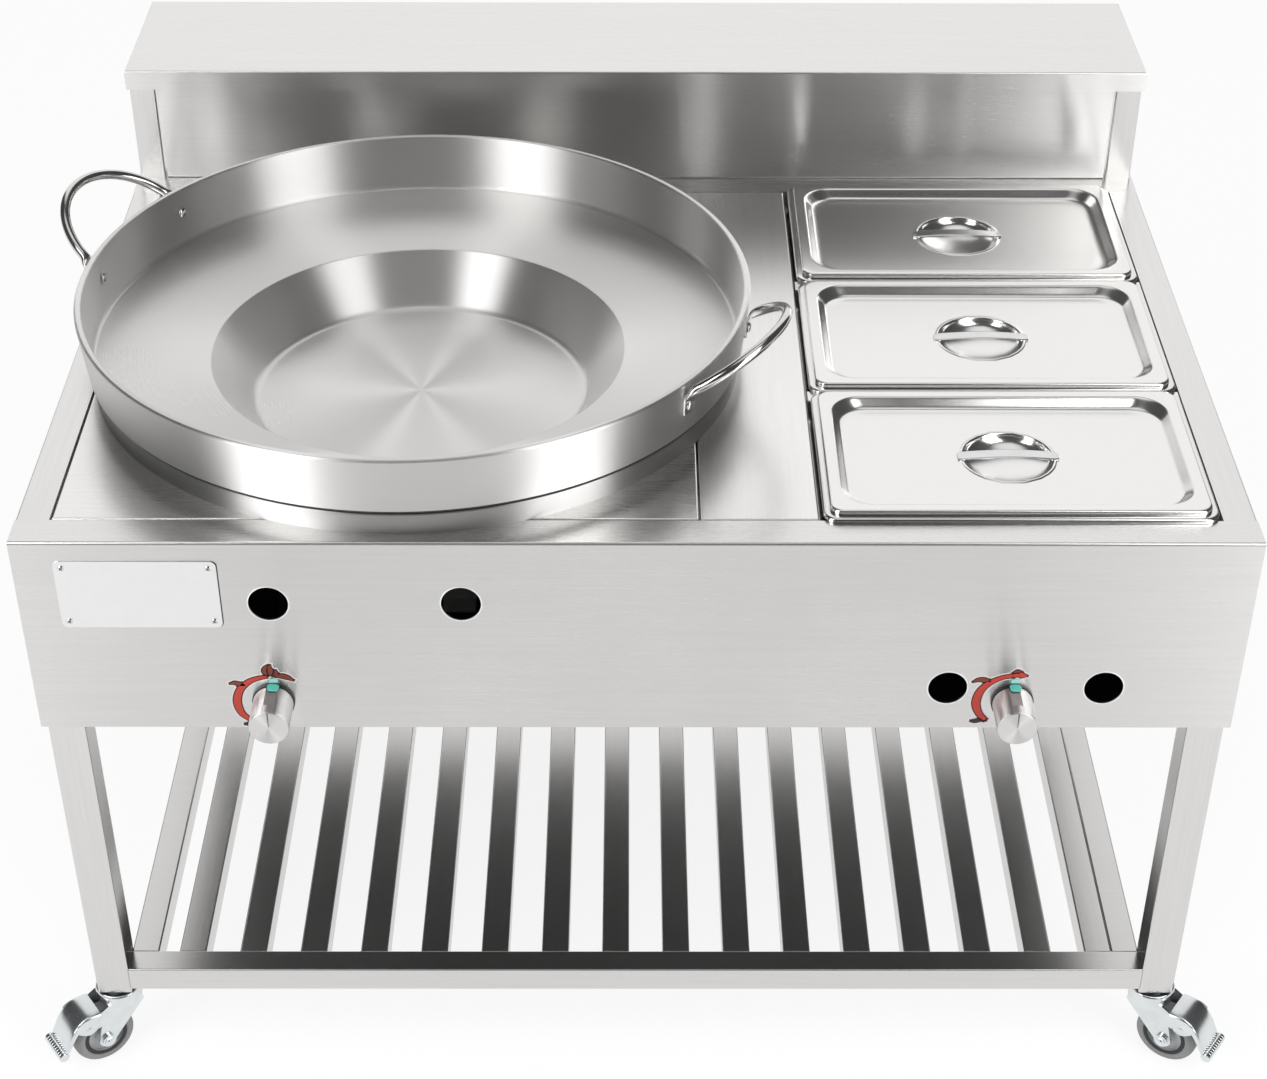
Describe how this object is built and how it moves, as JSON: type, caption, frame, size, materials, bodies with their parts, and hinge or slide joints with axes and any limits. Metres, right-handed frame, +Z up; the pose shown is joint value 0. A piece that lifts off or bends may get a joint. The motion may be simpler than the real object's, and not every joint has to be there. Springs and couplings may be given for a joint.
{
  "type": "propane taco cart stove",
  "caption": "Stainless cart stove on casters: round comal over a ring burner, lidded pans over a water bath, slatted lower rack and rear top shelf.",
  "frame": {"origin": "on the floor, in the middle of the overall width and depth", "axes": "+X to the right seen from the front, +Y to the back, +Z up"},
  "size_m": [1.1168, 0.8688, 0.7128],
  "materials": {
    "panel_steel": "satin brushed stainless sheet",
    "top_steel": "satin brushed stainless sheet, grain left to right",
    "frame_steel": "brushed stainless square tube",
    "comal_steel": "spun stainless with a round brush grain",
    "handle_steel": "polished steel rod",
    "pan_steel": "fine satin pressed stainless",
    "lid_steel": "bright satin pressed stainless",
    "nameplate_metal": "bare satin plate",
    "screw_steel": "polished screw heads",
    "knob_chrome": "polished chrome",
    "bezel_black": "black moulded plastic",
    "valve_brass": "turned brass",
    "pipe_steel": "black painted pipe",
    "burner_iron": "cast iron, sand texture",
    "burner_steel": "heat-dulled stainless tube",
    "bracket_steel": "galvanised strip",
    "tray_steel": "dark heat tray",
    "zinc": "zinc-plated pressed steel",
    "caster_tyre": "grey rubber tread",
    "caster_hub": "dark moulded wheel centre"
  },
  "bodies": {
    "root": {"front_apron": "panel_steel", "rear_apron": "panel_steel", "left_apron": "panel_steel", "right_apron": "panel_steel", "burner_top_plate": "top_steel", "side_top_plate": "top_steel", "cross_bearers": "frame_steel", "water_tank": "pan_steel", "front_legs": "frame_steel", "rear_legs": "frame_steel", "corner_angles": "frame_steel", "rack_rails": "frame_steel", "rack_slats": "frame_steel", "backsplash_posts": "frame_steel", "backsplash_panel": "panel_steel", "top_shelf": "panel_steel", "shelf_gussets": "frame_steel", "nameplate": "nameplate_metal", "nameplate_screws": "screw_steel", "valves": "valve_brass", "gas_manifold": "pipe_steel", "gas_inlet": "valve_brass", "ring_burner": "burner_iron", "ring_burner_feed": "pipe_steel", "ring_burner_brackets": "bracket_steel", "tube_burner": "burner_steel", "tube_burner_brackets": "bracket_steel", "air_shutters": "bracket_steel", "bottom_tray": "tray_steel", "caster_stems": "zinc", "comal_ring": "panel_steel", "pan_dividers": "top_steel", "knob_bezels": "bezel_black"},
    "comal": {"comal": "comal_steel", "comal_handle_left": "handle_steel", "comal_handle_right": "handle_steel", "comal_rivets": "handle_steel"},
    "pan_front": {"pan_front": "pan_steel"},
    "lid_front": {"lid_front": "lid_steel"},
    "pan_middle": {"pan_middle": "pan_steel"},
    "lid_middle": {"lid_middle": "lid_steel"},
    "pan_rear": {"pan_rear": "pan_steel"},
    "lid_rear": {"lid_rear": "lid_steel"},
    "knob_left": {"knob_left": "knob_chrome"},
    "knob_right": {"knob_right": "knob_chrome"},
    "caster_front_left": {"fork_front_left": "zinc"},
    "wheel_front_left": {"tyre_front_left": "caster_tyre", "hub_front_left": "caster_hub"},
    "pedal_front_left": {"pedal_front_left": "zinc"},
    "caster_front_right": {"fork_front_right": "zinc"},
    "wheel_front_right": {"tyre_front_right": "caster_tyre", "hub_front_right": "caster_hub"},
    "pedal_front_right": {"pedal_front_right": "zinc"},
    "caster_rear_left": {"fork_rear_left": "zinc"},
    "wheel_rear_left": {"tyre_rear_left": "caster_tyre", "hub_rear_left": "caster_hub"},
    "caster_rear_right": {"fork_rear_right": "zinc"},
    "wheel_rear_right": {"tyre_rear_right": "caster_tyre", "hub_rear_right": "caster_hub"}
  },
  "joints": [
    {"name": "comal_lift", "type": "slide", "parent": "root", "child": "comal", "axis": [0, 0, 1], "range_m": [0, 0.3]},
    {"name": "pan_front_lift", "type": "slide", "parent": "root", "child": "pan_front", "axis": [0, 0, 1], "range_m": [0, 0.12]},
    {"name": "lid_front_lift", "type": "slide", "parent": "pan_front", "child": "lid_front", "axis": [0, 0, 1], "range_m": [0, 0.1]},
    {"name": "pan_middle_lift", "type": "slide", "parent": "root", "child": "pan_middle", "axis": [0, 0, 1], "range_m": [0, 0.12]},
    {"name": "lid_middle_lift", "type": "slide", "parent": "pan_middle", "child": "lid_middle", "axis": [0, 0, 1], "range_m": [0, 0.1]},
    {"name": "pan_rear_lift", "type": "slide", "parent": "root", "child": "pan_rear", "axis": [0, 0, 1], "range_m": [0, 0.12]},
    {"name": "lid_rear_lift", "type": "slide", "parent": "pan_rear", "child": "lid_rear", "axis": [0, 0, 1], "range_m": [0, 0.1]},
    {"name": "knob_left_turn", "type": "hinge", "parent": "root", "child": "knob_left", "pos_m": [-0.307, -0.3964, 0.4345], "axis": [0, -1, 0], "range_deg": [0, 150]},
    {"name": "knob_right_turn", "type": "hinge", "parent": "root", "child": "knob_right", "pos_m": [0.318, -0.3964, 0.4345], "axis": [0, -1, 0], "range_deg": [0, 150]},
    {"name": "caster_front_left_swivel", "type": "hinge", "parent": "root", "child": "caster_front_left", "pos_m": [-0.48783, -0.37622, 0.075], "axis": [0, 0, 1], "continuous": true},
    {"name": "wheel_front_left_roll", "type": "hinge", "parent": "caster_front_left", "child": "wheel_front_left", "pos_m": [-0.50748, -0.38999, 0.03], "axis": [0.5736, -0.8192, 0], "continuous": true},
    {"name": "pedal_front_left_press", "type": "hinge", "parent": "caster_front_left", "child": "pedal_front_left", "pos_m": [-0.52059, -0.39917, 0.053], "axis": [0.5736, -0.8192, 0], "range_deg": [0, 12]},
    {"name": "caster_front_right_swivel", "type": "hinge", "parent": "root", "child": "caster_front_right", "pos_m": [0.48783, -0.37622, 0.075], "axis": [0, 0, 1], "continuous": true},
    {"name": "wheel_front_right_roll", "type": "hinge", "parent": "caster_front_right", "child": "wheel_front_right", "pos_m": [0.50748, -0.38999, 0.03], "axis": [0.5736, 0.8192, 0], "continuous": true},
    {"name": "pedal_front_right_press", "type": "hinge", "parent": "caster_front_right", "child": "pedal_front_right", "pos_m": [0.52059, -0.39917, 0.053], "axis": [0.5736, 0.8192, 0], "range_deg": [0, 12]},
    {"name": "caster_rear_left_swivel", "type": "hinge", "parent": "root", "child": "caster_rear_left", "pos_m": [-0.48783, 0.26343, 0.075], "axis": [0, 0, 1], "continuous": true},
    {"name": "wheel_rear_left_roll", "type": "hinge", "parent": "caster_rear_left", "child": "wheel_rear_left", "pos_m": [-0.50861, 0.27542, 0.03], "axis": [-0.5, -0.866, 0], "continuous": true},
    {"name": "caster_rear_right_swivel", "type": "hinge", "parent": "root", "child": "caster_rear_right", "pos_m": [0.48783, 0.26343, 0.075], "axis": [0, 0, 1], "continuous": true},
    {"name": "wheel_rear_right_roll", "type": "hinge", "parent": "caster_rear_right", "child": "wheel_rear_right", "pos_m": [0.50861, 0.27542, 0.03], "axis": [-0.5, 0.866, 0], "continuous": true}
  ]
}
